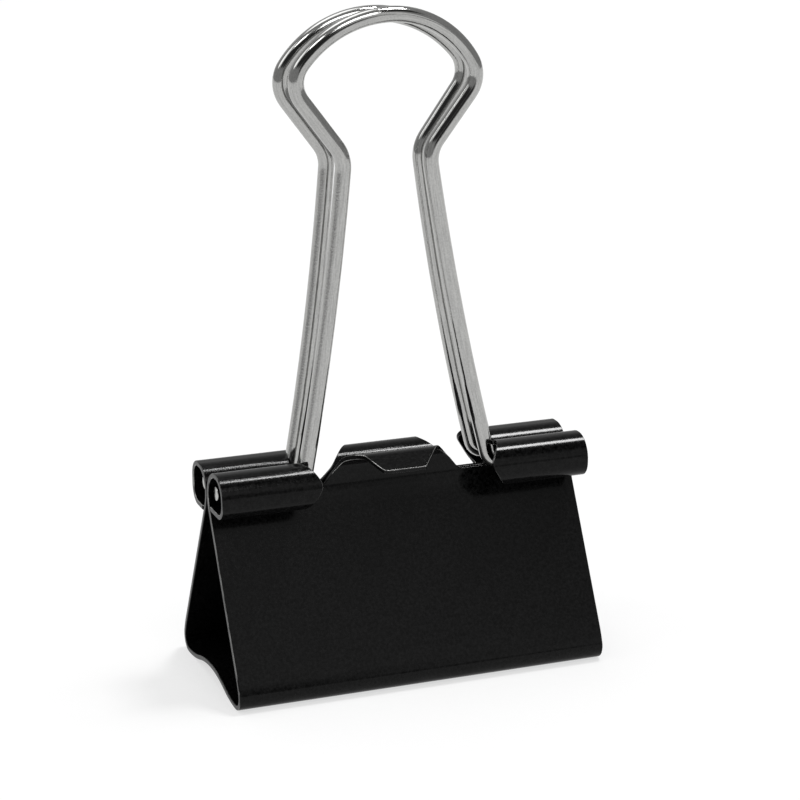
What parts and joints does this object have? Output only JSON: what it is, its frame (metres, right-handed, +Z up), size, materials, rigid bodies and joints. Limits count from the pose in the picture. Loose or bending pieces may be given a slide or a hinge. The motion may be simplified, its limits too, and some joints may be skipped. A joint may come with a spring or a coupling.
{
  "type": "binder clip",
  "caption": "Binder clip: triangular spring-steel body with rolled tubes and a middle tab on each jaw, and folding wire handles.",
  "frame": {"origin": "under the middle of the clip, on the surface that its two bottom bends stand on", "axes": "+X along the spine, -Y towards the front jaw, +Z up from the spine to the jaws and the handles' heads"},
  "size_m": [0.0254, 0.0128, 0.0437],
  "materials": {
    "black_enamel": "satin-gloss black baked enamel on spring steel",
    "nickel_plate": "bright nickel plate on spring wire"
  },
  "bodies": {
    "spine": {"spine": "black_enamel"},
    "front_jaw": {"front_jaw": "black_enamel"},
    "back_jaw": {"back_jaw": "black_enamel"},
    "front_handle": {"front_handle": "nickel_plate"},
    "back_handle": {"back_handle": "nickel_plate"}
  },
  "joints": [
    {"name": "front_jaw_open", "type": "hinge", "parent": "spine", "child": "front_jaw", "pos_m": [0, -0.0063, 0.00148], "axis": [1, 0, 0], "range_deg": [0, 22], "stiffness_Nm_per_rad": 0.3},
    {"name": "back_jaw_open", "type": "hinge", "parent": "spine", "child": "back_jaw", "pos_m": [0, 0.0063, 0.00148], "axis": [-1, 0, 0], "range_deg": [0, 22], "stiffness_Nm_per_rad": 0.3},
    {"name": "front_handle_swing", "type": "hinge", "parent": "front_jaw", "child": "front_handle", "pos_m": [0, -0.00125, 0.0133], "axis": [1, 0, 0], "range_deg": [0, 156]},
    {"name": "back_handle_swing", "type": "hinge", "parent": "back_jaw", "child": "back_handle", "pos_m": [0, 0.00125, 0.0133], "axis": [-1, 0, 0], "range_deg": [0, 150]}
  ],
  "couplings": [
    {"joint": "back_jaw_open", "follows": "front_jaw_open", "ratio": 1}
  ]
}
